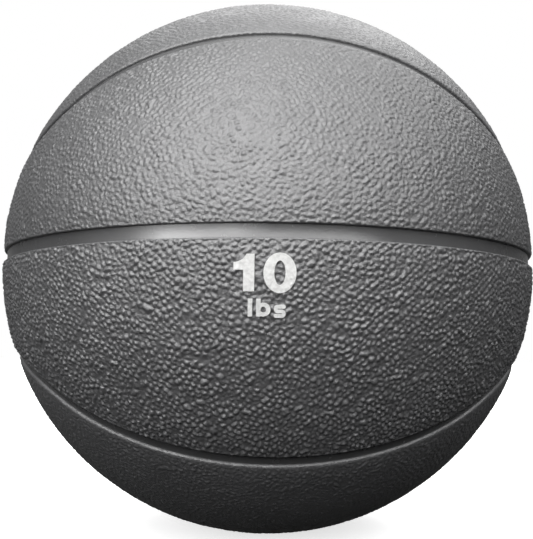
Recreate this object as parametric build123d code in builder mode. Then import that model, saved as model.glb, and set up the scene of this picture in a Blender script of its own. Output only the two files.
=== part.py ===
from build123d import *
import os
from math import asin, atan2, cos, degrees, radians, sin

# A channelled rubber medicine ball, 10 lb. Millimetres and degrees.
# The origin is the ball's centre. The straight channel lies in the XY plane, the curved channels loop round
# the +Z and -Z poles, the cross channel lies in the XZ plane, and the weight mark faces -Y.

os.makedirs("parts", exist_ok=True)

# Layers, from the outside in
ball_radius = 115.0
cover_thickness = 3.0
ply_thickness = 2.0
weighted_thickness = 22.2
winding_thickness = 1.2
bladder_thickness = 1.5

ply_outer = ball_radius - cover_thickness
weighted_outer = ply_outer - ply_thickness
winding_outer = weighted_outer - weighted_thickness
bladder_outer = winding_outer - winding_thickness
bladder_inner = bladder_outer - bladder_thickness

# Channels between the cover panels
channel_width = 4.5
channel_depth = 1.4
panel_edge_radius = 1.6
panel_edge_drop = 1.3
panel_edge_reach = 1.5
channel_floor = ball_radius - channel_depth
half_channel = channel_width / 2

# Each curved channel is a closed loop of four arcs that run into each other. Its front and back are great
# circles that lean by the front latitude, and its two ends are small circles that come down to the end latitude.
curved_front_latitude = 41.0
curved_end_latitude = 18.7

# Valve, on the back of the ball
valve_latitude = 20.0
boot_radius = 6.0
boot_recess = 0.5
boot_flange_radius = 15.0
boot_flange_thickness = 2.5
boot_flange_overlap = 1.5
air_passage_radius = 1.6
plug_inner_end = 95.0
plug_bulb_radius = 4.2
plug_bulb_length = 5.0
plug_waist_radius = 3.4
plug_head_radius = 4.4
plug_head_length = 2.4
plug_recess = 0.7
needle_bore_radius = 1.2
needle_bore_length = 9.0
needle_lead_in = 0.5

# Weight mark, a film of ink on the front lower belt panel
ink_thickness = 0.15
digits_left_x = -14.8
digits_base_z = -19.2
digit_height = 11.6
digit_stroke = 3.45
digit_gap = 2.8
one_width = 6.5
one_top_width = 2.5
one_flag_drop = 2.6
one_flag_height = 2.35
zero_width = 10.3
zero_height = 12.5
zero_counter_width = 3.5
zero_counter_height = 7.5
unit_left_x = -10.2
unit_base_z = -26.9
ascender_height = 5.4
letter_width = 4.5
letter_height = 4.2
letter_stroke = 1.4
letter_bar = 1.15
letter_gap = 1.2
s_width = 3.75
s_height = 3.95
s_gap = 1.0
s_drop = 0.35

# Room that a cutting solid takes beyond the surface it cuts through
clear = 5.0
groove_brim = 0.15

ball_centre = (0, 0, 0)
up = Vector(0, 0, 1)
across = Vector(1, 0, 0)
backward = Vector(0, 1, 0)


def finish(piece, name):
    """Label a finished piece and write it."""
    piece.label = name
    export_step(piece, f"parts/{name}.step")


def add_layer(outer, inner):
    """Add a hollow sphere between two radii to the current part."""
    Sphere(outer)
    Sphere(inner, mode=Mode.SUBTRACT)


# Channels


def draw_strip():
    """Draw the section of a channel strip, from the ply out to the channel's floor, on its middle line X."""
    with BuildSketch() as section:
        with BuildLine():
            top_angle = degrees(asin(half_channel / channel_floor))
            bottom_angle = degrees(asin(half_channel / ply_outer))
            top = CenterArc(ball_centre, channel_floor, -top_angle, 2 * top_angle)
            bottom = CenterArc(ball_centre, ply_outer, -bottom_angle, 2 * bottom_angle)
            Line(top @ 0, bottom @ 0)
            Line(top @ 1, bottom @ 1)
        make_face()
    return section.sketch


def draw_groove():
    """Draw the section of the gap between two panels, with their rolled edges, on its middle line X."""
    with BuildSketch() as section:
        with BuildLine():
            wall_foot = (ply_outer - clear, half_channel)
            wall_top = (ball_radius - panel_edge_drop, half_channel)
            brim = (ball_radius + groove_brim, half_channel + panel_edge_reach)
            sky = (ball_radius + clear, half_channel + panel_edge_reach)
            Polyline((ply_outer - clear, 0), wall_foot, wall_top)
            RadiusArc(wall_top, brim, panel_edge_radius)
            Polyline(brim, sky, (ball_radius + clear, 0))
            mirror(about=Plane.XZ)
        make_face()
    return section.sketch


def add_channel_arc(section, pole, start, sweep):
    """Sweep a channel's section round a pole, from the start point, and add it to the current part."""
    section_plane = Plane(origin=ball_centre, x_dir=start, z_dir=start.cross(pole))
    revolve(section_plane * section, axis=Axis(ball_centre, pole), revolution_arc=sweep)


def across_pole(pole, direction):
    """The unit vector at right angles to the pole that points towards the direction."""
    return (direction - pole * direction.dot(pole)).normalized()


def add_curved_channel(section):
    """Add the closed loop of the curved channel round the +Z pole to the current part."""
    lean = radians(curved_front_latitude)
    end_colatitude = radians(90 - curved_end_latitude)
    end_radius = atan2(cos(lean) * cos(end_colatitude), 1 - cos(lean) * sin(end_colatitude))
    end_lean = end_colatitude - end_radius

    for side in (1, -1):
        front_pole = Vector(0, side * sin(lean), cos(lean))
        front_middle = Vector(0, -side * cos(lean), sin(lean))
        end_pole = Vector(side * sin(end_lean), 0, cos(end_lean))
        join = across_pole(front_pole, end_pole)
        front_sweep = 2 * join.get_angle(front_middle)
        end_sweep = 2 * across_pole(end_pole, join).get_angle(across_pole(end_pole, across * side))
        add_channel_arc(section, front_pole, Vector(-join.X, join.Y, join.Z), front_sweep)
        add_channel_arc(section, end_pole, join, end_sweep)


with BuildPart() as straight_channel_strip:
    add_channel_arc(draw_strip(), up, backward, 360)
finish(straight_channel_strip.part, "straight_channel_strip")

with BuildPart() as upper_curved_channel_strip:
    add_curved_channel(draw_strip())
finish(upper_curved_channel_strip.part, "upper_curved_channel_strip")

with BuildPart() as lower_curved_channel_strip:
    mirror(upper_curved_channel_strip.part, about=Plane.XY)
finish(lower_curved_channel_strip.part, "lower_curved_channel_strip")

with BuildPart() as cross_channel:
    add_channel_arc(draw_strip(), backward, up, 360)
    add(straight_channel_strip.part, mode=Mode.SUBTRACT)
    add(upper_curved_channel_strip.part, mode=Mode.SUBTRACT)
    add(lower_curved_channel_strip.part, mode=Mode.SUBTRACT)

for stretch in cross_channel.solids():
    middle = stretch.bounding_box().center()
    height = "upper" if middle.Z > 0 else "lower"
    if abs(middle.X) > 1:
        side = "right" if middle.X > 0 else "left"
        stretch_name = f"{side}_{height}_cross_channel_strip"
    else:
        stretch_name = f"{height}_cap_cross_channel_strip"
    with BuildPart() as cross_channel_strip:
        add(stretch)
    finish(cross_channel_strip.part, stretch_name)


# Valve: a boot that runs from the bladder to the ball's surface, and a plug pressed into it

valve_direction = Vector(0, cos(radians(valve_latitude)), sin(radians(valve_latitude)))
valve_axis = Axis(ball_centre, valve_direction)
valve_section = Plane(origin=ball_centre, x_dir=across, z_dir=across.cross(valve_direction))
boot_top = ball_radius - boot_recess
plug_top = ball_radius - plug_recess


def cut_valve_hole():
    """Cut the boot's hole through the layer that is the current part."""
    with Locations(Plane(origin=ball_centre, x_dir=across, z_dir=valve_direction).location):
        hole_align = (Align.CENTER, Align.CENTER, Align.MIN)
        Cylinder(boot_radius, ball_radius + clear, align=hole_align, mode=Mode.SUBTRACT)


def revolve_valve_outline(points, mode=Mode.ADD):
    """Revolve a closed outline, as (distance from the valve's axis, distance from the ball's centre)."""
    with BuildSketch(valve_section) as outline:
        with BuildLine():
            Polyline(*points, close=True)
        make_face()
    revolve(outline.sketch, axis=valve_axis, mode=mode)


plug_outline = [
    (0, plug_inner_end),
    (plug_bulb_radius, plug_inner_end),
    (plug_bulb_radius, plug_inner_end + plug_bulb_length),
    (plug_waist_radius, plug_inner_end + plug_bulb_length),
    (plug_waist_radius, plug_top - plug_head_length),
    (plug_head_radius, plug_top - plug_head_length),
    (plug_head_radius, plug_top),
    (0, plug_top),
]

with BuildPart() as valve_boot:
    flange_bottom = bladder_inner - boot_flange_thickness
    flange_angle = degrees(asin(boot_flange_radius / bladder_inner))
    with BuildSketch(valve_section):
        with BuildLine():
            flange_top_arc = CenterArc(ball_centre, bladder_inner, 90 - flange_angle, flange_angle)
            flange_bottom_arc = CenterArc(ball_centre, flange_bottom, 90 - flange_angle, flange_angle)
            Line(flange_top_arc @ 0, flange_bottom_arc @ 0)
            Line(flange_top_arc @ 1, flange_bottom_arc @ 1)
        make_face()
    revolve(axis=valve_axis)
    stem_bottom = bladder_inner - boot_flange_overlap
    revolve_valve_outline([(0, stem_bottom), (boot_radius, stem_bottom), (boot_radius, boot_top), (0, boot_top)])
    passage_bottom = flange_bottom - clear
    passage_corner = (air_passage_radius, plug_inner_end)
    revolve_valve_outline(
        [(0, passage_bottom), (air_passage_radius, passage_bottom), passage_corner, (0, plug_inner_end)],
        mode=Mode.SUBTRACT,
    )
    revolve_valve_outline(plug_outline, mode=Mode.SUBTRACT)
    revolve_valve_outline(
        [(0, plug_top), (plug_head_radius, plug_top), (plug_head_radius, ball_radius), (0, ball_radius)],
        mode=Mode.SUBTRACT,
    )
finish(valve_boot.part, "valve_boot")

with BuildPart() as valve_plug:
    revolve_valve_outline(plug_outline)
    bore_top = plug_top - needle_lead_in
    bore_bottom = bore_top - needle_bore_length
    revolve_valve_outline(
        [
            (0, bore_bottom),
            (needle_bore_radius, bore_bottom),
            (needle_bore_radius, bore_top),
            (needle_bore_radius + needle_lead_in, plug_top),
            (0, plug_top),
        ],
        mode=Mode.SUBTRACT,
    )
finish(valve_plug.part, "valve_plug")


# Cover: one hollow sphere, parted into eight panels by the channels

with BuildPart() as straight_groove:
    add_channel_arc(draw_groove(), up, backward, 360)

with BuildPart() as cross_groove:
    add_channel_arc(draw_groove(), backward, up, 360)

with BuildPart() as curved_groove:
    add_curved_channel(draw_groove())

with BuildPart() as cover:
    add_layer(ball_radius, ply_outer)
    add(straight_groove.part, mode=Mode.SUBTRACT)
    add(curved_groove.part, mode=Mode.SUBTRACT)
    mirror(curved_groove.part, about=Plane.XY, mode=Mode.SUBTRACT)
    add(cross_groove.part, mode=Mode.SUBTRACT)

for blank in cover.solids():
    middle = blank.center()
    depth = "front" if middle.Y < 0 else "back"
    height = "upper" if middle.Z > 0 else "lower"
    panel_latitude = degrees(asin(abs(middle.Z) / middle.length))
    kind = "cap" if panel_latitude > curved_front_latitude else "belt"
    panel_name = f"{depth}_{height}_{kind}_panel"
    with BuildPart() as panel:
        add(blank)
        if panel_name == "back_upper_belt_panel":
            cut_valve_hole()
    finish(panel.part, panel_name)


# Layers under the cover

with BuildPart() as carcass_ply:
    add_layer(ply_outer, weighted_outer)
    cut_valve_hole()
finish(carcass_ply.part, "carcass_ply")

with BuildPart() as weighted_layer:
    add_layer(weighted_outer, winding_outer)
    cut_valve_hole()

for half_name, kept_side in (("upper_weighted_shell", Keep.TOP), ("lower_weighted_shell", Keep.BOTTOM)):
    with BuildPart() as weighted_shell:
        add(weighted_layer.part)
        split(bisect_by=Plane.XY, keep=kept_side)
    finish(weighted_shell.part, half_name)

with BuildPart() as thread_winding:
    add_layer(winding_outer, bladder_outer)
    cut_valve_hole()
finish(thread_winding.part, "thread_winding")

with BuildPart() as butyl_bladder:
    add_layer(bladder_outer, bladder_inner)
    cut_valve_hole()
finish(butyl_bladder.part, "butyl_bladder")


# Weight mark: flat characters, cut from a film of ink that lies on the cover


def draw_one():
    """Draw the digit 1, with the lower right corner of its stem at the origin."""
    flag_top = digit_height - one_flag_drop
    flag_foot = flag_top - one_flag_height
    with BuildSketch() as digit:
        with BuildLine():
            Polyline(
                (-one_width, flag_top),
                (-one_width, flag_foot),
                (-digit_stroke, flag_foot),
                (-digit_stroke, 0),
                (0, 0),
                (0, digit_height),
                (-one_top_width, digit_height),
            )
            RadiusArc((-one_top_width, digit_height), (-one_width, flag_top), -one_width)
        make_face()
    return digit.sketch


def draw_s():
    """Draw the letter s, with the lower left corner of its box at the origin."""
    bend = (s_height - letter_bar) / 4
    low = letter_bar / 2
    left = low + bend
    right = s_width - left
    with BuildLine() as spine:
        Line((low, low), (right, low))
        ThreePointArc((right, low), (right + bend, low + bend), (right, low + 2 * bend))
        Line((right, low + 2 * bend), (left, low + 2 * bend))
        ThreePointArc((left, low + 2 * bend), (left - bend, low + 3 * bend), (left, low + 4 * bend))
        Line((left, low + 4 * bend), (s_width - low, low + 4 * bend))
    with BuildSketch() as letter:
        SlotArc(spine.wire(), letter_bar)
    return letter.sketch


with BuildPart() as ink_film:
    add_layer(ball_radius + ink_thickness, ball_radius)

mark_plane = Plane.XZ.offset(ball_radius / 2)

with BuildPart() as weight_mark_number:
    with BuildSketch(mark_plane):
        one_right_x = digits_left_x + one_width
        with Locations((one_right_x, digits_base_z)):
            add(draw_one())
        with Locations((one_right_x + digit_gap + zero_width / 2, digits_base_z + digit_height / 2)):
            Ellipse(zero_width / 2, zero_height / 2)
            Ellipse(zero_counter_width / 2, zero_counter_height / 2, mode=Mode.SUBTRACT)
    extrude(amount=ball_radius)
    add(ink_film.part, mode=Mode.INTERSECT)
finish(weight_mark_number.part, "weight_mark_number")

with BuildPart() as weight_mark_unit:
    with BuildSketch(mark_plane):
        b_left_x = unit_left_x + letter_stroke + letter_gap
        s_left_x = b_left_x + letter_width + s_gap
        corner_align = (Align.MIN, Align.MIN)
        with Locations((unit_left_x, unit_base_z), (b_left_x, unit_base_z)):
            Rectangle(letter_stroke, ascender_height, align=corner_align)
        with Locations((b_left_x + letter_width / 2, unit_base_z + letter_height / 2)):
            Ellipse(letter_width / 2, letter_height / 2)
            Ellipse(letter_width / 2 - letter_stroke, letter_height / 2 - letter_bar, mode=Mode.SUBTRACT)
        with Locations((s_left_x, unit_base_z - s_drop)):
            add(draw_s())
    extrude(amount=ball_radius)
    add(ink_film.part, mode=Mode.INTERSECT)
finish(weight_mark_unit.part, "weight_mark_unit")
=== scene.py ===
"""Looks for a channelled rubber medicine ball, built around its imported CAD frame.

Metres. The origin is the ball's centre, +Z is up and the weight mark faces -Y. The straight channel lies
in the XY plane, the cross channel in the XZ plane, and the curved channels loop round the +Z and -Z poles.
"""

from math import acos, asin, atan2, cos, pi, radians, sin, sqrt

import bpy
import numpy as np
from mathutils import Matrix, Vector, geometry, kdtree, noise


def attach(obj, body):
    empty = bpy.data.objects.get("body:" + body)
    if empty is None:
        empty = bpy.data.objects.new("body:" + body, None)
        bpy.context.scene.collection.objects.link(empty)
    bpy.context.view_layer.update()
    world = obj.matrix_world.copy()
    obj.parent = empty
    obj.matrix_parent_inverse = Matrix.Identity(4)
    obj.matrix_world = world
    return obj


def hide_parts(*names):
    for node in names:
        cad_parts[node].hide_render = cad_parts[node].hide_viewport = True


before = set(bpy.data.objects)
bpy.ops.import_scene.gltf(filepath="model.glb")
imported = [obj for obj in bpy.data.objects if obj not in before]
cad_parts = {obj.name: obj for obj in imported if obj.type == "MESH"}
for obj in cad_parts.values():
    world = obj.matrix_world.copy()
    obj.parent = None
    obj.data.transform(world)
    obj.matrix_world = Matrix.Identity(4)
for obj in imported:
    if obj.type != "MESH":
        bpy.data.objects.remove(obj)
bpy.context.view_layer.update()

MM = 0.001

# The ball, as in its CAD source
BALL_RADIUS = 115.0 * MM
PLY_OUTER = 112.0 * MM
CHANNEL_FLOOR = 113.6 * MM
WALL_TOP = 113.7 * MM
HALF_CHANNEL = 2.25 * MM
EDGE_DROP = BALL_RADIUS - WALL_TOP
BELT_EDGE_REACH = 0.8 * MM
CAP_EDGE_REACH = 1.9 * MM
WALL_SHARE = HALF_CHANNEL / WALL_TOP
FRONT_LATITUDE = radians(41.0)
END_LATITUDE = radians(18.7)

# The valve, as (distance from its axis, distance from the ball's centre)
VALVE_LATITUDE = radians(20.0)
BOOT_RADIUS = 6.0 * MM
BOOT_TOP = 114.5 * MM
FLANGE_RADIUS = 15.0 * MM
FLANGE_TOP = 85.1 * MM
FLANGE_BOTTOM = 82.6 * MM
AIR_PASSAGE_RADIUS = 1.6 * MM
PLUG_INNER_END = 95.0 * MM
PLUG_BULB_RADIUS = 4.2 * MM
PLUG_BULB_END = 100.0 * MM
PLUG_WAIST_RADIUS = 3.4 * MM
PLUG_HEAD_START = 111.9 * MM
PLUG_HEAD_RADIUS = 4.4 * MM
PLUG_TOP = 114.3 * MM
NEEDLE_BORE_RADIUS = 1.2 * MM
NEEDLE_BORE_BOTTOM = 104.8 * MM
NEEDLE_LEAD_IN = 0.5 * MM
HOLE_EDGE = 0.35 * MM
valve_axis = np.array([0, cos(VALVE_LATITUDE), sin(VALVE_LATITUDE)])
valve_up = np.array([0, -sin(VALVE_LATITUDE), cos(VALVE_LATITUDE)])

# The weight mark, flat characters on the front lower belt panel
INK_THICKNESS = 0.15 * MM
INK_DEPTH = 0.1 * MM
INK_FILL = 0.5 * MM
INK_STEP = 0.4 * MM
INK_RIM_CLEARANCE = 0.45
INK_SHARP_ANGLE = radians(60)
DIGITS_LEFT_X = -14.8 * MM
DIGITS_BASE_Z = -19.2 * MM
DIGIT_HEIGHT = 11.6 * MM
DIGIT_STROKE = 3.45 * MM
DIGIT_GAP = 2.8 * MM
ONE_WIDTH = 6.5 * MM
ONE_TOP_WIDTH = 2.5 * MM
ONE_FLAG_TOP = 9.0 * MM
ONE_FLAG_FOOT = 6.65 * MM
ONE_FLAG_BOW = 0.35 * MM
ZERO_WIDTH = 10.3 * MM
ZERO_HEIGHT = 12.5 * MM
ZERO_COUNTER_WIDTH = 3.5 * MM
ZERO_COUNTER_HEIGHT = 7.5 * MM
UNIT_LEFT_X = -10.2 * MM
UNIT_BASE_Z = -26.9 * MM
ASCENDER_HEIGHT = 5.4 * MM
LETTER_WIDTH = 4.5 * MM
LETTER_HEIGHT = 4.2 * MM
LETTER_STROKE = 1.4 * MM
LETTER_BAR = 1.15 * MM
LETTER_GAP = 1.2 * MM
S_WIDTH = 3.75 * MM
S_HEIGHT = 3.95 * MM
S_GAP = 1.0 * MM
S_DROP = 0.35 * MM

# Mesh density
MESH_STEP = 0.468 * MM
BACK_MESH_STEP = 0.54 * MM
EDGE_ROWS = np.array([0.0, 0.12, 0.3, 0.55, 0.85, 1.2, 1.6]) * MM
COLUMN_SPREAD = 1.1
LEVEL_SHARE = 0.3
RIM_SAMPLES = 6001
HALVINGS = 60
SEARCH_LATITUDE = radians(60)
INNER_ROWS = 9
VALVE_INNER_ROWS = 48
VALVE_INNER_STEP = 1.6 * MM

# Moulded pebble grain
PEBBLE_PITCH = 2.1 * MM
PEBBLE_SEED = 10
PEBBLE_SCATTER = 0.22
PEBBLE_PAIRED = 0.15
PEBBLE_HEIGHTS = {
    "upper_belt": 0.55 * MM,
    "lower_belt": 0.88 * MM,
    "upper_cap": 0.35 * MM,
    "lower_cap": 0.35 * MM,
}
PEBBLE_LOWEST_TOP = 0.85
PEBBLE_TOP_SPREAD = 0.3
PEBBLE_TOP_SCALE = 90.0
NEAREST_PEBBLES = 4
PEBBLE_SHOULDER = 0.8 * MM
PEBBLE_MEAN = 0.35
PEBBLE_WARP = 0.25 * MM
PEBBLE_WARP_SIZE = 1.6 * MM
PEBBLE_STRETCH = 0.4 * MM
PEBBLE_STRETCH_SIZE = 9.0 * MM
NOISE_ORIGIN = Vector((3.7, 1.3, 8.1))
BELT_FADE = (0.1 * MM, 1.0 * MM)
CAP_FADE = (0.9 * MM, 2.4 * MM)
PILLOW_DEPTH = 0.35 * MM
PILLOW_REACH = 9.0 * MM


def unit(vectors):
    """Scale vectors to length one."""
    return vectors / np.linalg.norm(vectors, axis=-1, keepdims=True)


def smooth_step(low, high, values):
    """Rise smoothly from 0 at low to 1 at high."""
    share = np.clip((values - low) / (high - low), 0, 1)
    return share * share * (3 - 2 * share)


# The curved channel: great circles that lean at the front and back, small circles at the ends

end_colatitude = pi / 2 - END_LATITUDE
end_circle = atan2(
    cos(FRONT_LATITUDE) * cos(end_colatitude),
    1 - cos(FRONT_LATITUDE) * sin(end_colatitude),
)
end_lean = end_colatitude - end_circle
front_pole = np.array([0, sin(FRONT_LATITUDE), cos(FRONT_LATITUDE)])
end_pole = np.array([sin(end_lean), 0, cos(end_lean)])
side_of_join = np.cross(front_pole, end_pole)
side_of_join = side_of_join * np.sign(side_of_join[0])


def fold(directions):
    """Fold directions into the one eighth of the ball that is right, front and upper."""
    return np.abs(directions) * np.array([1, -1, 1])


def loop_distance(folded):
    """How far folded directions are from the curved channel's middle, as a share of the radius.

    Caps are on the positive side.
    """
    along_end = folded @ end_pole
    end_part = along_end * sin(end_circle) - np.sqrt(np.clip(1 - along_end**2, 0, 1)) * cos(end_circle)
    return np.where(folded @ side_of_join > 0, end_part, folded @ front_pole)


def edge_distance(directions, cap):
    """How far directions are from the nearest wall of their own panel, in metres."""
    folded = fold(directions)
    cross_gap = -folded[:, 1] - WALL_SHARE
    loop_gap = loop_distance(folded) * (1 if cap else -1) - WALL_SHARE
    gap = np.minimum(cross_gap, loop_gap)
    if not cap:
        gap = np.minimum(gap, folded[:, 2] - WALL_SHARE)
    return gap * WALL_TOP


# Pebble grain


def scatter_pebbles():
    """Spread pebble centres unevenly over the ball, and pair some of them up into longer pebbles."""
    count = int(4 * pi * BALL_RADIUS**2 / (PEBBLE_PITCH**2 * sqrt(3) / 2))
    random = np.random.default_rng(PEBBLE_SEED)
    order = np.arange(count) + 0.5
    height = 1 - 2 * order / count
    turn = order * pi * (3 - sqrt(5))
    ring = np.sqrt(1 - height**2)
    lattice = np.stack([ring * np.cos(turn), ring * np.sin(turn), height], axis=1) * BALL_RADIUS
    centres = unit(lattice + random.normal(0, PEBBLE_SCATTER * PEBBLE_PITCH, lattice.shape)) * BALL_RADIUS
    tree = kdtree.KDTree(count)
    for index, centre in enumerate(centres):
        tree.insert(centre, index)
    tree.balance()
    group = np.arange(count)
    for index in np.flatnonzero(random.random(count) < PEBBLE_PAIRED):
        neighbours = tree.find_n(centres[index], NEAREST_PEBBLES)
        group[index] = group[neighbours[random.integers(1, NEAREST_PEBBLES)][1]]
    return tree, group


# Without a seed, noise vectors change from run to run
noise.seed_set(PEBBLE_SEED)
pebble_tree, pebble_group = scatter_pebbles()


def pebble_relief(points):
    """The relief of the pebble grain at points on the ball, from 0 in a crease to 1 on a pebble's top."""
    relief = np.empty(len(points))
    warp_scale = 1 / PEBBLE_WARP_SIZE
    stretch_scale = 1 / PEBBLE_STRETCH_SIZE
    for index, point in enumerate(points):
        place = Vector(point)
        stretch = noise.noise_vector(place * stretch_scale + NOISE_ORIGIN) * PEBBLE_STRETCH
        place = place + stretch + noise.noise_vector(place * warp_scale + NOISE_ORIGIN) * PEBBLE_WARP
        found = pebble_tree.find_n(place, NEAREST_PEBBLES)
        own_group = pebble_group[found[0][1]]
        crease = PEBBLE_SHOULDER
        for centre, other, distance in found[1:]:
            if pebble_group[other] != own_group:
                crease = (distance - found[0][2]) / 2
                break
        share = min(crease / PEBBLE_SHOULDER, 1)
        top = PEBBLE_LOWEST_TOP + PEBBLE_TOP_SPREAD * noise.noise(place * PEBBLE_TOP_SCALE)
        relief[index] = top * share * share * (3 - 2 * share)
    return relief


def rolled_edge(gap, reach, drop):
    """How far a rolled edge falls below the surface, at a distance from the edge."""
    share = np.clip(1 - gap / reach, 0, 1)
    return drop * (1 - np.sqrt(1 - share**2))


def surface_heights(directions, cap, pebble_height, has_valve=False):
    """The ball's outer radius in each direction, with rolled edges and grain, and the grain's own relief."""
    gap = edge_distance(directions, cap)
    relief = pebble_relief(directions * BALL_RADIUS)
    edge_reach = CAP_EDGE_REACH if cap else BELT_EDGE_REACH
    roll = rolled_edge(gap, edge_reach, EDGE_DROP)
    pillow = PILLOW_DEPTH * (1 - np.clip(gap / PILLOW_REACH, 0, 1)) ** 2
    pillow = pillow * smooth_step(0, edge_reach, gap)
    if has_valve:
        hole_gap = np.linalg.norm(np.cross(directions, valve_axis), axis=1) * BALL_RADIUS - BOOT_RADIUS
        roll = roll + rolled_edge(hole_gap, HOLE_EDGE, HOLE_EDGE)
        gap = np.minimum(gap, np.maximum(hole_gap, 0))
    grain = pebble_height * (relief - PEBBLE_MEAN) * smooth_step(*(CAP_FADE if cap else BELT_FADE), gap)
    return BALL_RADIUS - roll - pillow + grain, relief


# Panel meshes: columns of points from wall to wall, zipped together


def edge_first_rows(length, step):
    """Places along a column, close together near both of its ends."""
    graded = EDGE_ROWS if length > 4 * EDGE_ROWS[-1] else EDGE_ROWS * length / (4 * EDGE_ROWS[-1])
    middle = length - 2 * graded[-1]
    count = max(int(round(middle / step)), 1)
    inner = graded[-1] + middle * np.arange(1, count) / count
    return np.concatenate([graded, inner, (length - graded)[::-1]])


def find_end(direction_at, sign, low, high):
    """Find by halving where columns reach the curved channel's wall."""
    for _ in range(HALVINGS):
        middle = (low + high) / 2
        inside = sign * loop_distance(fold(direction_at(middle))) > WALL_SHARE
        low = np.where(inside, middle, low)
        high = np.where(inside, high, middle)
    return low


def belt_columns(step):
    """Columns of directions that fill the front upper belt panel, from left to right and bottom to top."""
    width = 2 * acos(WALL_SHARE) * BALL_RADIUS
    across = edge_first_rows(width, step * COLUMN_SPREAD) / width * 2 - 1

    def direction_at(share, latitude):
        turn = share * np.arccos(np.clip(WALL_SHARE / np.cos(latitude), -1, 1))
        reach = np.cos(latitude)
        return np.stack([reach * np.sin(turn), -reach * np.cos(turn), np.sin(latitude)], axis=-1)

    low = np.full(len(across), asin(WALL_SHARE))
    high = np.full(len(across), SEARCH_LATITUDE)
    top = find_end(lambda latitude: direction_at(across, latitude), -1, low, high)
    columns, places = [], []
    for share, start, end in zip(across, low, top):
        rows = edge_first_rows((end - start) * BALL_RADIUS, step)
        columns.append(direction_at(share, start + rows / BALL_RADIUS))
        places.append(rows / rows[-1])
    return columns, places


def cap_columns(step):
    """Columns of directions that fill the front upper cap panel, from left to right.

    Each column runs down from the cross channel.
    """
    start = asin(WALL_SHARE)

    def direction_at(turn, drop):
        reach, depth = np.cos(drop), -np.sin(drop) * np.ones_like(turn)
        return np.stack([reach * np.sin(turn), depth, reach * np.cos(turn)], axis=-1)

    low, high = 0.0, pi / 2
    for _ in range(HALVINGS):
        middle = (low + high) / 2
        reached = loop_distance(fold(direction_at(np.array([middle]), start)))[0] > WALL_SHARE
        low, high = (middle, high) if reached else (low, middle)
    turns = low * np.sin(np.linspace(-pi / 2, pi / 2, RIM_SAMPLES))
    top, bottom = np.full(RIM_SAMPLES, start), np.full(RIM_SAMPLES, pi / 2)
    drops = find_end(lambda drop: direction_at(turns, drop), 1, top, bottom)
    rim = direction_at(turns, drops) * BALL_RADIUS
    travelled = np.concatenate([[0], np.cumsum(np.linalg.norm(np.diff(rim, axis=0), axis=1))])
    count = int(travelled[-1] / step)
    places_on_rim = np.linspace(0, travelled[-1], count + 1)
    turns = np.interp(places_on_rim, travelled, turns)
    drops = np.interp(places_on_rim, travelled, drops)
    columns, places = [], []
    for index, (turn, end) in enumerate(zip(turns, drops)):
        if index in (0, count):
            columns.append(direction_at(np.array([turn]), np.array([start])))
            places.append(np.zeros(1))
            continue
        rows = edge_first_rows((end - start) * BALL_RADIUS, step)
        columns.append(direction_at(np.full(len(rows), turn), start + rows / BALL_RADIUS))
        places.append(rows / rows[-1])
    return columns, places


def zip_columns(left, right, left_start, right_start, lean=0):
    """Join two neighbouring columns of points with triangles.

    Where points are level, the diagonals lean left and right in turn.
    """
    triangles = []
    i, j = 0, 0
    last_i, last_j = len(left) - 1, len(right) - 1
    level = LEVEL_SHARE * (left[-1] - left[0]) / max(last_i, 1)
    while i < last_i or j < last_j:
        if i == last_i or j == last_j:
            take_left = j == last_j
        else:
            ahead = left[i] + left[i + 1] - right[j] - right[j + 1]
            take_left = ((i + j) // 2 + lean) % 2 == 0 if abs(ahead) < level else ahead < 0
        if take_left:
            triangles.append((left_start + i, right_start + j, left_start + i + 1))
            i += 1
        else:
            triangles.append((left_start + i, right_start + j, right_start + j + 1))
            j += 1
    return triangles


def zip_sheet(places):
    """Join all the columns of a sheet, and return its triangles and where each column starts."""
    starts = np.concatenate([[0], np.cumsum([len(column) for column in places])])
    triangles = []
    for index in range(len(places) - 1):
        triangles += zip_columns(places[index], places[index + 1], starts[index], starts[index + 1], index)
    return np.array(triangles), starts


def rim_of(places, starts):
    """The sheet's rim, once round, as point numbers."""
    first = list(range(starts[0], starts[1]))
    top = [starts[index + 1] - 1 for index in range(1, len(places) - 1)]
    last = list(range(starts[-1] - 1, starts[-2] - 1, -1))
    bottom = [starts[index] for index in range(len(places) - 2, 0, -1)]
    return np.array(first + top + last + bottom)


def panel_template(columns, places, inner_rows):
    """What the panels of one kind share: directions, triangles and a coarse inner sheet on the same rim."""
    triangles, starts = zip_sheet(places)
    directions = np.concatenate(columns)
    kept, inner_places = [], []
    for index, column in enumerate(places):
        rows = np.arange(len(column))
        if 0 < index < len(places) - 1:
            rows = np.unique(np.linspace(0, len(column) - 1, min(inner_rows, len(column))).astype(int))
        kept.append(starts[index] + rows)
        inner_places.append(column[rows])
    inner_triangles, inner_starts = zip_sheet(inner_places)
    return {
        "directions": directions,
        "triangles": triangles,
        "rim": rim_of(places, starts),
        "inner_points": np.concatenate(kept),
        "inner_triangles": inner_triangles,
        "inner_rim": rim_of(inner_places, inner_starts),
    }


def wall_between(outer_rim, inner_rim):
    """Triangles of the wall between two rims that have the same number of points."""
    outer_next, inner_next = np.roll(outer_rim, -1), np.roll(inner_rim, -1)
    lower = np.stack([outer_rim, outer_next, inner_rim], axis=1)
    upper = np.stack([outer_next, inner_next, inner_rim], axis=1)
    return np.concatenate([lower, upper])


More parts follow.
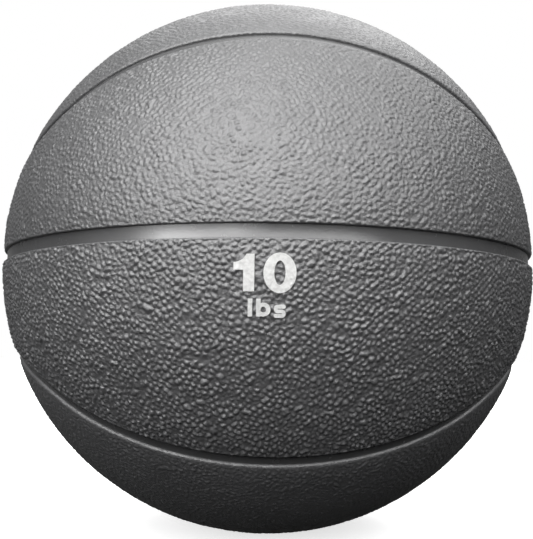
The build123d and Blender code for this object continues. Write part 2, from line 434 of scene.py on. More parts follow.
def cut_valve_hole(directions, triangles, radius, spacing):
    """Cut the boot's hole through a sheet.

    Returns its directions, the kept triangles, and the hole's rim in order with its angles.
    """
    opening = BOOT_RADIUS / radius
    along = directions @ valve_axis
    across = directions - along[:, None] * valve_axis
    reach = np.linalg.norm(across, axis=1)
    near = (along > 0) & (np.abs(reach - opening) < spacing / 2 / radius)
    inner = (along > 0) & (reach < opening) & ~near
    lost = inner[triangles].any(axis=1)
    lost |= near[triangles].all(axis=1) & (reach[triangles].mean(axis=1) < opening)
    lost_sides = set()
    for a, b, c in triangles[lost]:
        lost_sides |= {(a, b), (b, c), (c, a)}
    rim = set()
    close = reach[triangles].min(axis=1) < opening + 4 * spacing / radius
    beside = ~lost & close & (along[triangles[:, 0]] > 0)
    for a, b, c in triangles[beside]:
        for start, end in ((a, b), (b, c), (c, a)):
            if (end, start) in lost_sides:
                rim |= {start, end}
    rim = np.array(sorted(rim))
    angles = np.arctan2(across[rim] @ valve_up, across[rim, 0])
    rim = rim[np.argsort(angles)]
    directions = directions.copy()
    directions[rim] = valve_axis * sqrt(1 - opening**2) + across[rim] / reach[rim][:, None] * opening
    return directions, triangles[~lost], rim, np.sort(angles)


def hole_wall(outer_rim, outer_angles, inner_rim, inner_angles):
    """Triangles of the hole's wall, between the rims in the outer and the inner sheet."""
    outer_places = [*outer_angles, outer_angles[0] + 2 * pi]
    inner_places = [*inner_angles, inner_angles[0] + 2 * pi]
    numbers = np.concatenate([outer_rim, outer_rim[:1], inner_rim, inner_rim[:1]])
    return numbers[np.array(zip_columns(outer_places, inner_places, 0, len(outer_places)))]


def make_mesh(name, points, triangles, attributes=()):
    """Make a smooth mesh object from points and triangles, with named numbers on its points."""
    mesh = bpy.data.meshes.new(name)
    mesh.vertices.add(len(points))
    mesh.vertices.foreach_set("co", np.asarray(points, dtype=np.float32).ravel())
    mesh.loops.add(3 * len(triangles))
    mesh.loops.foreach_set("vertex_index", np.asarray(triangles, dtype=np.int32).ravel())
    mesh.polygons.add(len(triangles))
    mesh.polygons.foreach_set("loop_start", np.arange(0, 3 * len(triangles), 3, dtype=np.int32))
    mesh.polygons.foreach_set("use_smooth", np.ones(len(triangles), dtype=bool))
    mesh.update(calc_edges=True)
    mesh.validate()
    for attribute_name, values in attributes:
        attribute = mesh.attributes.new(attribute_name, "FLOAT", "POINT")
        attribute.data.foreach_set("value", np.asarray(values, dtype=np.float32))
    piece = bpy.data.objects.new(name, mesh)
    bpy.context.scene.collection.objects.link(piece)
    return piece


def place_piece(piece, node, material):
    """Hand a finished piece to the frame as the stand-in for a CAD node."""
    piece.data.materials.append(material)
    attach(piece, "root")
    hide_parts(node)


# Materials

NOISE_LOW = 0.3
NOISE_HIGH = 0.7
# How much of the cover's colour follows the pebble relief: painted shade in the creases, painted highlight on
# the tops
PAINTED_CREASE_SHADE_SHARE = 0.65


def new_material(name):
    """Make a node material and return it with its nodes, links and shader."""
    material = bpy.data.materials.new(name)
    material.use_nodes = True
    nodes = material.node_tree.nodes
    return material, nodes, material.node_tree.links, nodes["Principled BSDF"]


def object_place(nodes):
    """A node that gives the place on the object."""
    return nodes.new("ShaderNodeTexCoord").outputs["Object"]


def noise_between(nodes, links, place, scale, low, high, detail=4.0):
    """A noise texture that runs from one number to another."""
    texture = nodes.new("ShaderNodeTexNoise")
    texture.inputs["Scale"].default_value = scale
    texture.inputs["Detail"].default_value = detail
    links.new(place, texture.inputs["Vector"])
    spread = nodes.new("ShaderNodeMapRange")
    spread.inputs["From Min"].default_value = NOISE_LOW
    spread.inputs["From Max"].default_value = NOISE_HIGH
    spread.inputs["To Min"].default_value = low
    spread.inputs["To Max"].default_value = high
    links.new(texture.outputs["Fac"], spread.inputs["Value"])
    return spread.outputs["Result"]


def mix_colours(nodes, links, share, first, second):
    """Mix two colours by a share that is a socket."""
    mix = nodes.new("ShaderNodeMix")
    mix.data_type = "RGBA"
    mix.inputs["A"].default_value = (*first, 1)
    mix.inputs["B"].default_value = (*second, 1)
    links.new(share, mix.inputs["Factor"])
    return mix.outputs["Result"]


def add_bump(nodes, links, height, distance, shader):
    """Put a bump on a shader."""
    bump = nodes.new("ShaderNodeBump")
    bump.inputs["Strength"].default_value = 1.0
    bump.inputs["Distance"].default_value = distance
    links.new(height, bump.inputs["Height"])
    links.new(bump.outputs["Normal"], shader.inputs["Normal"])


def rubber(name, dark, light, rough, mottle_scale, grain_scale, grain_depth, ior=1.5, relief=False):
    """Moulded rubber: mottled grey, uneven sheen and a fine grain. With relief, the colour carries painted
    shade and painted highlight: darker in the pebble creases, lighter on the pebble tops.
    """
    material, nodes, links, shader = new_material(name)
    place = object_place(nodes)
    mottle = noise_between(nodes, links, place, mottle_scale, 0.0, 1.0)
    # Painted shade in the pebble creases and painted highlight on the pebble tops, mixed into the mottle
    if relief:
        crease_shade = nodes.new("ShaderNodeAttribute")
        crease_shade.attribute_name = "relief"
        painted_crease_shade_mix = nodes.new("ShaderNodeMix")
        painted_crease_shade_mix.data_type = "FLOAT"
        painted_crease_shade_mix.inputs["Factor"].default_value = PAINTED_CREASE_SHADE_SHARE
        links.new(mottle, painted_crease_shade_mix.inputs["A"])
        links.new(crease_shade.outputs["Fac"], painted_crease_shade_mix.inputs["B"])
        mottle = painted_crease_shade_mix.outputs["Result"]
    links.new(mix_colours(nodes, links, mottle, dark, light), shader.inputs["Base Color"])
    links.new(noise_between(nodes, links, place, mottle_scale * 3, *rough), shader.inputs["Roughness"])
    shader.inputs["IOR"].default_value = ior
    grain = noise_between(nodes, links, place, grain_scale, 0.0, 1.0, detail=2.0)
    add_bump(nodes, links, grain, grain_depth, shader)
    return material


# The cover's colour carries painted shade in the pebble creases and painted highlight on the pebble tops
cover_rubber = rubber(
    "cover_rubber",
    dark=(0.078, 0.078, 0.08),
    light=(0.11, 0.11, 0.113),
    rough=(0.44, 0.5),
    mottle_scale=60,
    grain_scale=900,
    grain_depth=0.15 * MM,
    ior=2.1,
    relief=True,
)
# A dark grey rubber, set darker than the cover's as painted shade for the recessed channel floors
channel_rubber = rubber(
    "channel_rubber",
    dark=(0.066, 0.066, 0.067),
    light=(0.08, 0.08, 0.082),
    rough=(0.22, 0.28),
    mottle_scale=60,
    grain_scale=1500,
    grain_depth=0.01 * MM,
    ior=2.0,
)


def printing_ink():
    """Matt white screen-printing ink, a little thin in places."""
    material, nodes, links, shader = new_material("mark_ink")
    place = object_place(nodes)
    thin = noise_between(nodes, links, place, 900, 0.0, 1.0)
    white = mix_colours(nodes, links, thin, (0.6, 0.6, 0.59), (0.82, 0.82, 0.81))
    links.new(white, shader.inputs["Base Color"])
    links.new(noise_between(nodes, links, place, 400, 0.5, 0.65), shader.inputs["Roughness"])
    add_bump(nodes, links, thin, 0.01 * MM, shader)
    return material


mark_ink = printing_ink()


def wound_thread():
    """Pale nylon thread, wound in turns and set in latex."""
    material, nodes, links, shader = new_material("nylon_thread")
    place = object_place(nodes)
    turns = nodes.new("ShaderNodeTexWave")
    turns.inputs["Scale"].default_value = 160.0
    turns.inputs["Distortion"].default_value = 6.0
    turns.inputs["Detail"].default_value = 2.0
    links.new(place, turns.inputs["Vector"])
    threads = turns.outputs["Fac"]
    pale = mix_colours(nodes, links, threads, (0.42, 0.38, 0.3), (0.76, 0.75, 0.7))
    links.new(pale, shader.inputs["Base Color"])
    links.new(noise_between(nodes, links, place, 300, 0.5, 0.7), shader.inputs["Roughness"])
    add_bump(nodes, links, threads, 0.2 * MM, shader)
    return material


# Panels

templates = {
    "belt": panel_template(*belt_columns(MESH_STEP), INNER_ROWS),
    "cap": panel_template(*cap_columns(MESH_STEP), INNER_ROWS),
    "valve": panel_template(*belt_columns(BACK_MESH_STEP), VALVE_INNER_ROWS),
}


def build_panel(name, kind, pebble_height, mirroring):
    """Build one cover panel: a pebbled outer sheet, a plain inner sheet and the walls between them."""
    has_valve = name == "back_upper_belt_panel"
    template = templates["valve" if has_valve else kind]
    directions = template["directions"] * mirroring
    inner_directions = directions[template["inner_points"]]
    outer_triangles, inner_triangles = template["triangles"], template["inner_triangles"]
    inner_start = len(directions)
    walls = [wall_between(template["rim"], template["inner_rim"] + inner_start)]
    if has_valve:
        directions, outer_triangles, outer_rim, outer_angles = cut_valve_hole(
            directions, outer_triangles, BALL_RADIUS, BACK_MESH_STEP
        )
        inner_directions, inner_triangles, inner_rim, inner_angles = cut_valve_hole(
            inner_directions, inner_triangles, PLY_OUTER, VALVE_INNER_STEP
        )
        walls.append(hole_wall(outer_rim, outer_angles, inner_rim + inner_start, inner_angles))
    radii, relief = surface_heights(directions, kind == "cap", pebble_height, has_valve)
    radii[template["rim"]] = WALL_TOP
    points = np.concatenate([directions * radii[:, None], inner_directions * PLY_OUTER])
    relief = np.concatenate([relief, np.full(len(inner_directions), PEBBLE_MEAN)])
    triangles = np.concatenate([outer_triangles, inner_triangles[:, ::-1] + inner_start, *walls])
    if (mirroring.prod() < 0) != (kind == "cap"):
        triangles = triangles[:, ::-1]
    used, triangles = np.unique(triangles, return_inverse=True)
    # The relief stays on the points, where the cover's colour reads it for painted crease shade and painted
    # highlight on the tops
    panel = make_mesh(f"{name}_skin", points[used], triangles.reshape(-1, 3), [("relief", relief[used])])
    place_piece(panel, name, cover_rubber)


for depth, depth_sign in (("front", 1), ("back", -1)):
    for level, level_sign in (("upper", 1), ("lower", -1)):
        for kind in ("belt", "cap"):
            mirroring = np.array([1, depth_sign, level_sign])
            build_panel(f"{depth}_{level}_{kind}_panel", kind, PEBBLE_HEIGHTS[f"{level}_{kind}"], mirroring)

# Channel strips

STRIP_STEP = radians(0.5)
STRIP_SHARES = np.linspace(-1, 1, 11)
STRIP_HOLLOW = 0.12 * MM
STRIP_SHARP_ANGLE = radians(50)
lateral_angle = asin(WALL_SHARE)


def arc_frames(pole, circle, start, sweep):
    """Middle and sideways directions along an arc of a circle round a pole, from a start direction."""
    pole = np.asarray(pole, dtype=float)
    outward = unit(start - pole * (start @ pole))
    onward = np.cross(pole, outward)
    turns = np.linspace(0, sweep, max(int(abs(sweep) / STRIP_STEP), 4) + 1)[:, None]
    reach = outward * np.cos(turns) + onward * np.sin(turns)
    return pole * cos(circle) + reach * sin(circle), pole * sin(circle) - reach * cos(circle)


def sweep_strip(name, middles, sides, closed, mirrored=False):
    """Sweep a strip's section along its middle directions, from the ply out to the channel's floor."""
    turns = STRIP_SHARES * lateral_angle
    floor_radii = CHANNEL_FLOOR - STRIP_HOLLOW * (1 - STRIP_SHARES**2)
    section = [(turn, radius) for turn, radius in zip(turns, floor_radii)]
    section += [(turns[-1], PLY_OUTER), (turns[0], PLY_OUTER)]
    rings = [middles * cos(turn) * radius + sides * sin(turn) * radius for turn, radius in section]
    points = np.stack(rings, axis=1)
    if closed:
        points = points[:-1]
    if mirrored:
        points = points * np.array([1, 1, -1])
    ring_count, size = points.shape[:2]
    number = np.arange(ring_count * size).reshape(ring_count, size)
    following = np.roll(number, -1, axis=0) if closed else number[1:]
    current = number if closed else number[:-1]
    beside, beyond = np.roll(current, -1, axis=1), np.roll(following, -1, axis=1)
    first = np.stack([current, following, beside], axis=-1).reshape(-1, 3)
    second = np.stack([following, beyond, beside], axis=-1).reshape(-1, 3)
    triangles = [first, second]
    if not closed:
        fan = np.array([(0, index, index + 1) for index in range(1, size - 1)])
        triangles += [number[0][fan], number[-1][fan][:, ::-1]]
    triangles = np.concatenate(triangles)
    if mirrored:
        triangles = triangles[:, ::-1]
    strip = make_mesh(f"{name}_band", points.reshape(-1, 3), triangles)
    strip.data.set_sharp_from_angle(angle=STRIP_SHARP_ANGLE)
    place_piece(strip, name, channel_rubber)


join = unit(end_pole - front_pole * (end_pole @ front_pole))
front_sweep = 2 * acos(join @ np.array([0, -cos(FRONT_LATITUDE), sin(FRONT_LATITUDE)]))
join_from_end = unit(join - end_pole * (join @ end_pole))
end_sweep = 2 * acos(join_from_end @ unit(np.array([1, 0, 0]) - end_pole * end_pole[0]))
loop_middles, loop_sides = [], []
for side in (1, -1):
    turned = np.array([side, side, 1])
    for pole, circle, start, sweep in (
        (front_pole * turned, pi / 2, join * np.array([-1, 1, 1]) * turned, front_sweep),
        (end_pole * turned, end_circle, join * turned, end_sweep),
    ):
        middles, sides = arc_frames(pole, circle, start, sweep)
        loop_middles.append(middles[:-1])
        loop_sides.append(sides[:-1])
loop_middles.append(loop_middles[0][:1])
loop_sides.append(loop_sides[0][:1])
loop_middles, loop_sides = np.concatenate(loop_middles), np.concatenate(loop_sides)
sweep_strip("upper_curved_channel_strip", loop_middles, loop_sides, closed=True)
sweep_strip("lower_curved_channel_strip", loop_middles, loop_sides, closed=True, mirrored=True)

middles, sides = arc_frames((0, 0, 1), pi / 2, np.array([0.0, 1, 0]), 2 * pi)
sweep_strip("straight_channel_strip", middles, sides, closed=True)

loop_crossing = pi / 2 - END_LATITUDE
cross_strips = (
    ("upper_cap_cross_channel_strip", -loop_crossing, loop_crossing),
    ("right_upper_cross_channel_strip", loop_crossing, pi / 2),
    ("right_lower_cross_channel_strip", pi / 2, pi - loop_crossing),
    ("lower_cap_cross_channel_strip", pi - loop_crossing, pi + loop_crossing),
    ("left_lower_cross_channel_strip", pi + loop_crossing, 3 * pi / 2),
    ("left_upper_cross_channel_strip", 3 * pi / 2, 2 * pi - loop_crossing),
)
for name, low, high in cross_strips:
    low, high = low + lateral_angle, high - lateral_angle
    middles, sides = arc_frames((0, 1, 0), pi / 2, np.array([sin(low), 0, cos(low)]), high - low)
    sweep_strip(name, middles, sides, closed=False)


# Valve

ROUNDING = 0.25 * MM
ROUNDING_STEPS = 5
LONGEST_ROUNDING = 0.4
LATHE_STEPS = 72
LATHE_SHARP_ANGLE = radians(35)
ON_AXIS = 1e-9


def rounded(outline, radius=ROUNDING):
    """Round the corners of an outline that aren't on the axis."""
    result = []
    count = len(outline)
    for index, corner in enumerate(outline):
        corner = np.array(corner)
        before, after = np.array(outline[index - 1]), np.array(outline[(index + 1) % count])
        if corner[0] < ON_AXIS:
            result.append(corner)
            continue
        length_before, length_after = np.linalg.norm(before - corner), np.linalg.norm(after - corner)
        reach = min(radius, length_before * LONGEST_ROUNDING, length_after * LONGEST_ROUNDING)
        start = corner + (before - corner) / length_before * reach
        end = corner + (after - corner) / length_after * reach
        for share in np.linspace(0, 1, ROUNDING_STEPS):
            result.append((1 - share) ** 2 * start + 2 * share * (1 - share) * corner + share**2 * end)
    return np.array(result)


def lathe(name, outline):
    """Turn an outline round the valve's axis. It runs from the axis round to the axis, or is closed."""
    meets_axis = any(point[0] < ON_AXIS for point in outline)
    sideways = np.array([1.0, 0, 0])
    turns = np.linspace(0, 2 * pi, LATHE_STEPS, endpoint=False)
    points, numbers = [], []
    for reach, height in outline:
        centre = valve_axis * height
        if reach < ON_AXIS:
            numbers.append(np.full(LATHE_STEPS, len(points)))
            points.append(centre)
            continue
        numbers.append(np.arange(len(points), len(points) + LATHE_STEPS))
        points += [centre + reach * (sideways * cos(turn) + valve_up * sin(turn)) for turn in turns]
    triangles = []
    pairs = list(zip(numbers, numbers[1:]))
    if not meets_axis:
        pairs.append((numbers[-1], numbers[0]))
    for lower, upper in pairs:
        for step in range(LATHE_STEPS):
            following = (step + 1) % LATHE_STEPS
            here, above = lower[step], upper[step]
            beside, beyond = lower[following], upper[following]
            for triangle in ((here, beyond, above), (here, beside, beyond)):
                if len(set(triangle)) == 3:
                    triangles.append(triangle)
    piece = make_mesh(name, points, triangles)
    piece.data.set_sharp_from_angle(angle=LATHE_SHARP_ANGLE)
    return piece


def layer_arc(radius, start, end, steps=6):
    """Outline points along a layer's sphere, between two distances from the valve's axis."""
    reaches = np.linspace(start, end, steps)
    return [(reach, sqrt(radius**2 - reach**2)) for reach in reaches]


boot_rubber = rubber(
    "boot_rubber",
    dark=(0.05, 0.05, 0.052),
    light=(0.075, 0.075, 0.078),
    rough=(0.36, 0.44),
    mottle_scale=200,
    grain_scale=2500,
    grain_depth=0.01 * MM,
)
plug_rubber = rubber(
    "plug_rubber",
    dark=(0.022, 0.022, 0.023),
    light=(0.035, 0.035, 0.036),
    rough=(0.3, 0.4),
    mottle_scale=250,
    grain_scale=2500,
    grain_depth=0.01 * MM,
)

boot_outline = [
    *layer_arc(FLANGE_BOTTOM, AIR_PASSAGE_RADIUS, FLANGE_RADIUS * FLANGE_BOTTOM / FLANGE_TOP),
    *layer_arc(FLANGE_TOP, FLANGE_RADIUS, BOOT_RADIUS),
    (BOOT_RADIUS, BOOT_TOP),
    (PLUG_HEAD_RADIUS, BOOT_TOP),
    (PLUG_HEAD_RADIUS, PLUG_HEAD_START),
    (PLUG_WAIST_RADIUS, PLUG_HEAD_START),
    (PLUG_WAIST_RADIUS, PLUG_BULB_END),
    (PLUG_BULB_RADIUS, PLUG_BULB_END),
    (PLUG_BULB_RADIUS, PLUG_INNER_END),
    (AIR_PASSAGE_RADIUS, PLUG_INNER_END),
]
boot = lathe("valve_boot_body", rounded(boot_outline))
place_piece(boot, "valve_boot", boot_rubber)

plug_outline = [
    (0, PLUG_INNER_END),
    (PLUG_BULB_RADIUS, PLUG_INNER_END),
    (PLUG_BULB_RADIUS, PLUG_BULB_END),
    (PLUG_WAIST_RADIUS, PLUG_BULB_END),
    (PLUG_WAIST_RADIUS, PLUG_HEAD_START),
    (PLUG_HEAD_RADIUS, PLUG_HEAD_START),
    (PLUG_HEAD_RADIUS, PLUG_TOP),
    (NEEDLE_BORE_RADIUS + NEEDLE_LEAD_IN, PLUG_TOP),
    (NEEDLE_BORE_RADIUS, PLUG_TOP - NEEDLE_LEAD_IN),
    (NEEDLE_BORE_RADIUS, NEEDLE_BORE_BOTTOM),
    (0, NEEDLE_BORE_BOTTOM),
]
plug = lathe("valve_plug_body", rounded(plug_outline))
place_piece(plug, "valve_plug", plug_rubber)


# Weight mark: flat outlines as (x, z), filled with small triangles and laid on the pebbled cover


def ellipse(centre, width, height, steps=64):
    """An ellipse as an outline."""
    turns = np.linspace(0, 2 * pi, steps, endpoint=False)
    return np.stack([centre[0] + width / 2 * np.cos(turns), centre[1] + height / 2 * np.sin(turns)], axis=1)


def arc(centre, radius, start, end, steps=12):
    """Points along an arc, between two angles in degrees."""
    turns = np.radians(np.linspace(start, end, steps))
    return np.stack([centre[0] + radius * np.cos(turns), centre[1] + radius * np.sin(turns)], axis=1)


def box_outline(corner, width, height):
    """A rectangle as an outline, from its lower left corner."""
    x, z = corner
    return np.array([(x, z), (x + width, z), (x + width, z + height), (x, z + height)])


def digit_one(corner):
    """The digit 1, from its lower left corner. The top of its flag is swept."""
    x, z = corner
    right = x + ONE_WIDTH
    left = right - DIGIT_STROKE
    start, end = np.array([right - ONE_TOP_WIDTH, z + DIGIT_HEIGHT]), np.array([x, z + ONE_FLAG_TOP])
    bow = np.array([left, z + ONE_FLAG_TOP + ONE_FLAG_BOW])
    shares = np.linspace(0, 1, 10)[:, None]
    swept = (1 - shares) ** 2 * start + 2 * shares * (1 - shares) * bow + shares**2 * end
    foot, top = z + ONE_FLAG_FOOT, z + DIGIT_HEIGHT
    rest = np.array([(x, foot), (left, foot), (left, z), (right, z), (right, top)])
    return np.concatenate([swept, rest])


def letter_s(corner):
    """The letter s, from its lower left corner: a bar that bends twice, with round ends."""
    x, z = corner
    half = LETTER_BAR / 2
    bend = (S_HEIGHT - LETTER_BAR) / 4
    left, right = x + half + bend, x + S_WIDTH - half - bend
    low, high = z + half + bend, z + half + 3 * bend
    outer, inner = bend + half, bend - half
    parts = [
        arc((x + half, z + half), half, 90, 270),
        arc((right, low), outer, -90, 90),
        arc((left, high), inner, 270, 90),
        arc((x + S_WIDTH - half, z + half + 4 * bend), half, -90, 90),
        arc((left, high), outer, 90, 270),
        arc((right, low), inner, 90, -90),
    ]
    return np.concatenate(parts)


def inside(outline, points):
    """Which points are inside an outline."""
    crossings = np.zeros(len(points), dtype=bool)
    for (x0, z0), (x1, z1) in zip(outline, np.roll(outline, -1, axis=0)):
        spans = (z0 > points[:, 1]) != (z1 > points[:, 1])
        reach = x0 + (points[:, 1] - z0) * (x1 - x0) / (z1 - z0 if z1 != z0 else 1)
        crossings ^= spans & (points[:, 0] < reach)
    return crossings


def divide(outline, step):
    """Divide an outline's long sides into steps."""
    result = []
    for start, end in zip(outline, np.roll(outline, -1, axis=0)):
        count = max(int(np.linalg.norm(end - start) / step), 1)
        result += [start + (end - start) * share for share in np.arange(count) / count]
    return np.array(result)


def fill_character(solids, holes):
    """Fill a character, given as solid outlines and holes, with small triangles.

    Holes are cut only from the last solid.
    """
    outlines = [divide(outline, INK_STEP) for outline in [*solids, *holes]]
    low, high = np.concatenate(outlines).min(axis=0), np.concatenate(outlines).max(axis=0)
    columns = np.arange(low[0], high[0], INK_STEP)
    rows = np.arange(low[1], high[1], INK_STEP * sqrt(3) / 2)
    lattice = np.array([(x + INK_STEP / 2 * (index % 2), z) for index, z in enumerate(rows) for x in columns])
    rim = np.concatenate(outlines)
    clearance = INK_STEP * INK_RIM_CLEARANCE
    clear = np.array([np.min(np.sum((rim - point) ** 2, axis=1)) > clearance**2 for point in lattice])
    edges, start = [], 0
    for outline in outlines:
        count = len(outline)
        edges += [(start + index, start + (index + 1) % count) for index in range(count)]
        start += count
    scale = 1 / MM
    points = [Vector(point * scale) for point in np.concatenate([rim, lattice[clear]])]
    filled, _, triangles, *_ = geometry.delaunay_2d_cdt(points, edges, [], 0, 1e-6)
    filled = np.array(filled) / scale
    triangles = np.array(triangles)
    middles = filled[triangles].mean(axis=1)
    kept = np.zeros(len(triangles), dtype=bool)
    for solid in solids[:-1]:
        kept |= inside(solid, middles)
    last = inside(solids[-1], middles)
    for hole in holes:
        last &= ~inside(hole, middles)
    triangles = triangles[kept | last]
    used, numbers = np.unique(triangles, return_inverse=True)
    return filled[used], numbers.reshape(-1, 3)


def on_cover(points, offset):
    """Lay flat (x, z) points on the front lower belt panel's surface, at an offset from it."""
    depth = -np.sqrt(BALL_RADIUS**2 - np.sum(points**2, axis=1))
    directions = unit(np.stack([points[:, 0], depth, points[:, 1]], axis=1))
    radii, _ = surface_heights(directions, False, PEBBLE_HEIGHTS["lower_belt"])
    radii = radii + offset
    if offset > 0:
        radii = np.maximum(radii, BALL_RADIUS + INK_FILL)
    return directions * radii[:, None]


def print_characters(name, node, characters):
    """Make one piece of ink from several characters."""
    all_points, all_triangles, start = [], [], 0
    for solids, holes in characters:
        flat, triangles = fill_character(solids, holes)
        count = len(flat)
        sides = np.concatenate([triangles[:, [0, 1]], triangles[:, [1, 2]], triangles[:, [2, 0]]])
        known = {tuple(side) for side in sides}
        rim = np.array([side for side in sides if (side[1], side[0]) not in known])
        lower = np.stack([rim[:, 0], rim[:, 0] + count, rim[:, 1]], axis=1)
        upper = np.stack([rim[:, 1], rim[:, 0] + count, rim[:, 1] + count], axis=1)
        all_points += [on_cover(flat, INK_THICKNESS), on_cover(flat, -INK_DEPTH)]
        all_triangles.append(np.concatenate([triangles, triangles[:, ::-1] + count, lower, upper]) + start)
        start += 2 * count
    piece = make_mesh(name, np.concatenate(all_points), np.concatenate(all_triangles))
    piece.data.set_sharp_from_angle(angle=INK_SHARP_ANGLE)
    place_piece(piece, node, mark_ink)


zero_centre = (DIGITS_LEFT_X + ONE_WIDTH + DIGIT_GAP + ZERO_WIDTH / 2, DIGITS_BASE_Z + DIGIT_HEIGHT / 2)
zero = ellipse(zero_centre, ZERO_WIDTH, ZERO_HEIGHT)
zero_counter = ellipse(zero_centre, ZERO_COUNTER_WIDTH, ZERO_COUNTER_HEIGHT)
one = digit_one((DIGITS_LEFT_X, DIGITS_BASE_Z))
print_characters("weight_number_ink", "weight_mark_number", [([one], []), ([zero], [zero_counter])])

b_left_x = UNIT_LEFT_X + LETTER_STROKE + LETTER_GAP
s_left_x = b_left_x + LETTER_WIDTH + S_GAP
bowl_centre = (b_left_x + LETTER_WIDTH / 2, UNIT_BASE_Z + LETTER_HEIGHT / 2)
letter_l = box_outline((UNIT_LEFT_X, UNIT_BASE_Z), LETTER_STROKE, ASCENDER_HEIGHT)
b_stem = box_outline((b_left_x, UNIT_BASE_Z), LETTER_STROKE, ASCENDER_HEIGHT)
bowl = ellipse(bowl_centre, LETTER_WIDTH, LETTER_HEIGHT)
bowl_counter = ellipse(bowl_centre, LETTER_WIDTH - 2 * LETTER_STROKE, LETTER_HEIGHT - 2 * LETTER_BAR)
s_outline = letter_s((s_left_x, UNIT_BASE_Z - S_DROP))
unit_characters = [([letter_l], []), ([b_stem, bowl], [bowl_counter]), ([s_outline], [])]
print_characters("weight_unit_ink", "weight_mark_unit", unit_characters)


# The layers under the cover keep their CAD shapes and get their own materials

ply_rubber = rubber(
    "ply_rubber",
    dark=(0.04, 0.04, 0.041),
    light=(0.06, 0.06, 0.061),
    rough=(0.5, 0.6),
    mottle_scale=90,
    grain_scale=1200,
    grain_depth=0.03 * MM,
)
weighted_rubber = rubber(
    "weighted_rubber",
    dark=(0.05, 0.05, 0.05),
    light=(0.085, 0.083, 0.08),
    rough=(0.65, 0.8),
    mottle_scale=400,
    grain_scale=900,
    grain_depth=0.08 * MM,
)
butyl_rubber = rubber(
    "butyl_rubber",
    dark=(0.025, 0.025, 0.026),
    light=(0.035, 0.035, 0.036),
    rough=(0.3, 0.4),
    mottle_scale=60,
    grain_scale=800,
    grain_depth=0.01 * MM,
)
layer_materials = {
    "carcass_ply": ply_rubber,
    "upper_weighted_shell": weighted_rubber,
    "lower_weighted_shell": weighted_rubber,
    "thread_winding": wound_thread(),
    "butyl_bladder": butyl_rubber,
}
for node, material in layer_materials.items():
    for material_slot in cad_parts[node].material_slots:
        material_slot.material = material

# Floor, light and camera

FLOOR_REACH = 6.0
FLOOR_GLOW = 0.7
ROUND_THE_FLOOR = ((-1, -1), (1, -1), (1, 1), (-1, 1))


def make_floor():
    """A plain pale floor that the ball stands on. It lights nothing, so the ball's underside stays dark."""
    corners = [(side * FLOOR_REACH, depth * FLOOR_REACH, -BALL_RADIUS) for side, depth in ROUND_THE_FLOOR]
    mesh = bpy.data.meshes.new("floor")
    mesh.from_pydata(corners, [], [(0, 1, 2, 3)])
    floor = bpy.data.objects.new("floor", mesh)
    bpy.context.scene.collection.objects.link(floor)
    material, _, _, shader = new_material("pale_floor")
    shader.inputs["Base Color"].default_value = (0.9, 0.9, 0.9, 1)
    shader.inputs["Roughness"].default_value = 0.8
    shader.inputs["Emission Color"].default_value = (1, 1, 1, 1)
    shader.inputs["Emission Strength"].default_value = FLOOR_GLOW
    mesh.materials.append(material)
    floor.visible_diffuse = False
    floor.visible_glossy = False


make_floor()

# Soft studio light, as (azimuth to the right of the viewer's side, elevation, tightness, strength)
SOFT_LIGHTS = (
    (-20, 56, 60, 11.5),
    (10, 60, 60, 3.0),
    (-40, 12, 40, 4.5),
    (-16, 9, 150, 5.0),
    (-60, 40, 12, 1.5),
    (60, 40, 12, 0.3),
    (-20, 84, 12, 1.5),
    (150, 60, 12, 3.0),
    (180, 15, 5, 0.45),
)

# A large soft window: each edge is a direction, and how far along it the window begins
WINDOW_STRENGTH = 3.5
WINDOW_SOFTNESS = 0.06
WINDOW_EDGES = (
    ((0.0, 0.0, 1.0), 0.14),
    ((0.0, 0.0, -1.0), -0.82),
    ((-0.654, -0.329, 0.681), 0.0),
    ((0.8, -0.3, 0.0), -0.45),
)


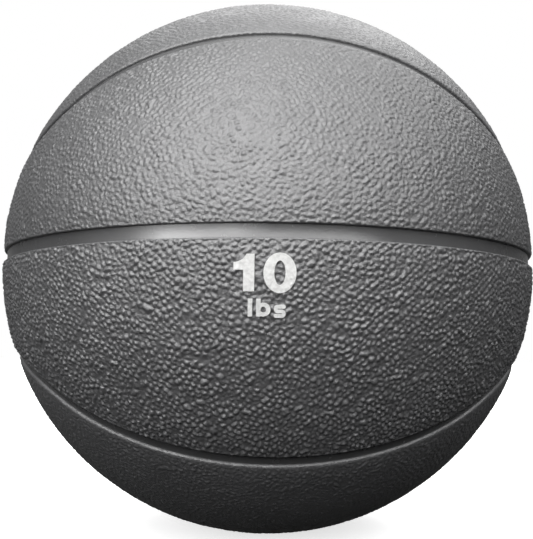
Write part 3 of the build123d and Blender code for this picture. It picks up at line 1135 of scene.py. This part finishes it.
def make_studio_light():
    """A world with soft lights and one large soft window in front. The camera sees it as plain white."""
    world = bpy.data.worlds.new("studio")
    bpy.context.scene.world = world
    world.use_nodes = True
    nodes, links = world.node_tree.nodes, world.node_tree.links
    nodes.clear()
    direction = nodes.new("ShaderNodeTexCoord").outputs["Generated"]

    def maths(operation, first, second):
        node = nodes.new("ShaderNodeMath")
        node.operation = operation
        for socket, value in zip(node.inputs, (first, second)):
            if isinstance(value, (int, float)):
                socket.default_value = value
            else:
                links.new(value, socket)
        return node.outputs["Value"]

    def along(axis):
        node = nodes.new("ShaderNodeVectorMath")
        node.operation = "DOT_PRODUCT"
        links.new(direction, node.inputs[0])
        node.inputs[1].default_value = axis
        return node.outputs["Value"]

    total = maths("ADD", 0.0, 0.0)
    for azimuth, elevation, tightness, strength in SOFT_LIGHTS:
        turn, lift = radians(azimuth), radians(elevation)
        axis = (cos(lift) * sin(turn), -cos(lift) * cos(turn), sin(lift))
        falloff = maths("EXPONENT", maths("MULTIPLY", maths("SUBTRACT", along(axis), 1.0), tightness), 0.0)
        total = maths("ADD", total, maths("MULTIPLY", falloff, strength))
    window = maths("ADD", WINDOW_STRENGTH, 0.0)
    for axis, start in WINDOW_EDGES:
        edge = nodes.new("ShaderNodeMapRange")
        edge.interpolation_type = "SMOOTHSTEP"
        edge.inputs["From Min"].default_value = start
        edge.inputs["From Max"].default_value = start + WINDOW_SOFTNESS
        links.new(along(axis), edge.inputs["Value"])
        window = maths("MULTIPLY", window, edge.outputs["Result"])
    total = maths("ADD", total, window)
    light = nodes.new("ShaderNodeBackground")
    links.new(total, light.inputs["Strength"])
    backdrop = nodes.new("ShaderNodeBackground")
    choose = nodes.new("ShaderNodeMixShader")
    links.new(nodes.new("ShaderNodeLightPath").outputs["Is Camera Ray"], choose.inputs["Fac"])
    links.new(light.outputs["Background"], choose.inputs[1])
    links.new(backdrop.outputs["Background"], choose.inputs[2])
    backdrop.inputs["Color"].default_value = (1, 1, 1, 1)
    backdrop.inputs["Strength"].default_value = 1.0
    output = nodes.new("ShaderNodeOutputWorld")
    links.new(choose.outputs["Shader"], output.inputs["Surface"])


make_studio_light()


# The camera's place in ball radii, the direction that is up in its picture, and its lens in millimetres
CAMERA_PLACE = Vector((-0.1135, -3.0802, -0.3305))
CAMERA_UP = Vector((-0.01448, -0.10614, 0.99425))
CAMERA_LENS = 52.4
CAMERA_SHIFT = (-0.002064, -0.001126)


def make_camera():
    """The camera: a little below the straight channel, a little to the left, and close to the ball."""
    place = CAMERA_PLACE * BALL_RADIUS
    forward = (-place).normalized()
    right = forward.cross(CAMERA_UP).normalized()
    up = right.cross(forward)
    data = bpy.data.cameras.new("camera")
    data.sensor_fit = "HORIZONTAL"
    data.sensor_width = 36.0
    data.lens = CAMERA_LENS
    data.shift_x, data.shift_y = CAMERA_SHIFT
    data.clip_start = 0.01
    camera = bpy.data.objects.new("camera", data)
    bpy.context.scene.collection.objects.link(camera)
    turn = Matrix((right, up, -forward)).transposed()
    camera.matrix_world = Matrix.Translation(place) @ turn.to_4x4()
    bpy.context.scene.camera = camera


make_camera()
bpy.context.scene.view_settings.view_transform = "Standard"
